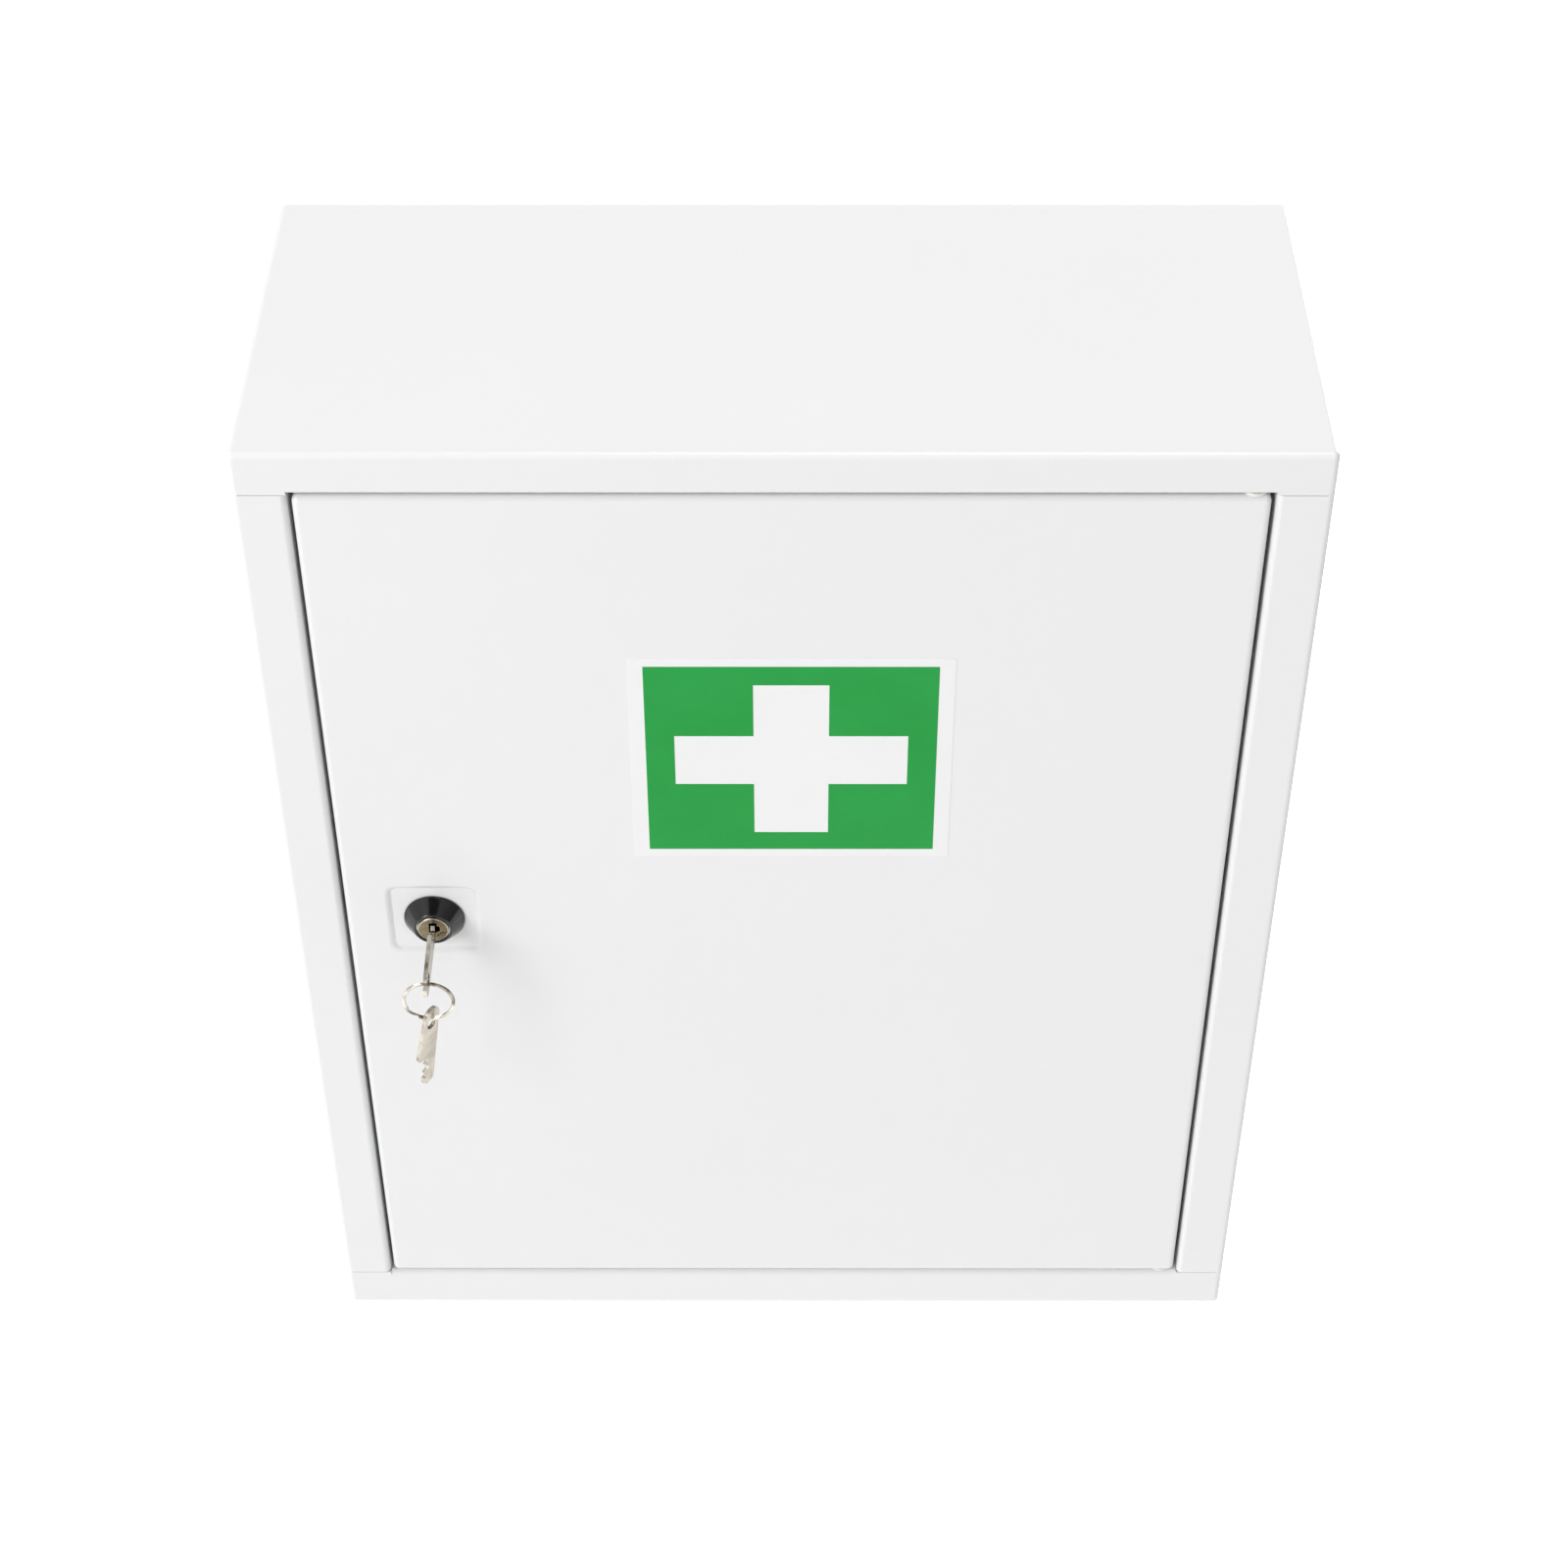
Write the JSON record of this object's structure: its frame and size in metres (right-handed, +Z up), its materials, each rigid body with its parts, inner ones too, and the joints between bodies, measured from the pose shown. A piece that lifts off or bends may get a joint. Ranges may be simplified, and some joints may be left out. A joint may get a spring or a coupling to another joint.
{
  "type": "lockable medicine cabinet",
  "caption": "Wall-hung medicine cabinet of folded white sheet steel with shelves, an inset hinged door, a cam lock and keys on a split ring.",
  "frame": {"origin": "middle of the underside of the casing", "axes": "+Z up, the door faces -Y, +X to the right of someone facing the door"},
  "size_m": [0.38, 0.2011, 0.46],
  "materials": {
    "powder_coat": "satin white powder coat with fine orange peel",
    "zinc_steel": "zinc-plated steel",
    "nickel_plate": "nickel-plated die-cast zinc",
    "plug_nickel": "worn nickel over brass",
    "key_nickel": "nickel-plated, softly worn",
    "ring_nickel": "bright nickel plate",
    "black_gloss": "black, glossy",
    "clear_rubber": "grey rubber",
    "nylon": "natural nylon",
    "white_vinyl": "white vinyl film",
    "green_print": "green print on vinyl film"
  },
  "bodies": {
    "cabinet": {"top_wall": "powder_coat", "bottom_wall": "powder_coat", "lock_side_wall": "powder_coat", "hinge_side_wall": "powder_coat", "back_rim": "powder_coat", "upper_lip": "powder_coat", "lower_lip": "powder_coat", "lock_side_lip": "powder_coat", "door_landing": "powder_coat", "hinge_side_lip": "powder_coat", "back_panel": "powder_coat", "upper_shelf": "powder_coat", "lower_shelf": "powder_coat", "upper_left_rail": "powder_coat", "upper_right_rail": "powder_coat", "lower_left_rail": "powder_coat", "lower_right_rail": "powder_coat", "upper_pivot_pin": "zinc_steel", "lower_pivot_pin": "zinc_steel", "door_bumpers": "clear_rubber"},
    "door": {"door_panel": "powder_coat", "upper_bush": "nylon", "lower_bush": "nylon", "sticker_base": "white_vinyl", "sticker_print": "green_print", "lock_bezel": "black_gloss", "lock_barrel": "nickel_plate", "lock_nut": "zinc_steel"},
    "plug": {"lock_plug": "plug_nickel", "lock_cam": "zinc_steel", "cam_washer": "zinc_steel", "cam_screw": "zinc_steel"},
    "key": {"lock_key": "key_nickel"},
    "ring": {"split_ring": "ring_nickel"},
    "hanging_key": {"spare_key": "key_nickel"}
  },
  "joints": [
    {"name": "door_hinge", "type": "hinge", "parent": "cabinet", "child": "door", "pos_m": [0.163, -0.075, 0.232], "axis": [0, 0, 1], "range_deg": [0, 110]},
    {"name": "lock_turn", "type": "hinge", "parent": "door", "child": "plug", "pos_m": [-0.1355, -0.0859, 0.2374], "axis": [0, 1, 0], "range_deg": [0, 90]},
    {"name": "key_slide", "type": "slide", "parent": "plug", "child": "key", "axis": [0, -1, 0], "range_m": [-0.0075, 0.012]},
    {"name": "ring_swing", "type": "hinge", "parent": "key", "child": "ring", "pos_m": [-0.1355, -0.1149, 0.2389], "axis": [-1, 0, 0], "range_deg": [-10, 90]},
    {"name": "spare_key_swing", "type": "hinge", "parent": "ring", "child": "hanging_key", "pos_m": [-0.13559, -0.1149, 0.21806], "axis": [-0.8011, 0.5878, 0.1126], "range_deg": [-25, 60]}
  ]
}
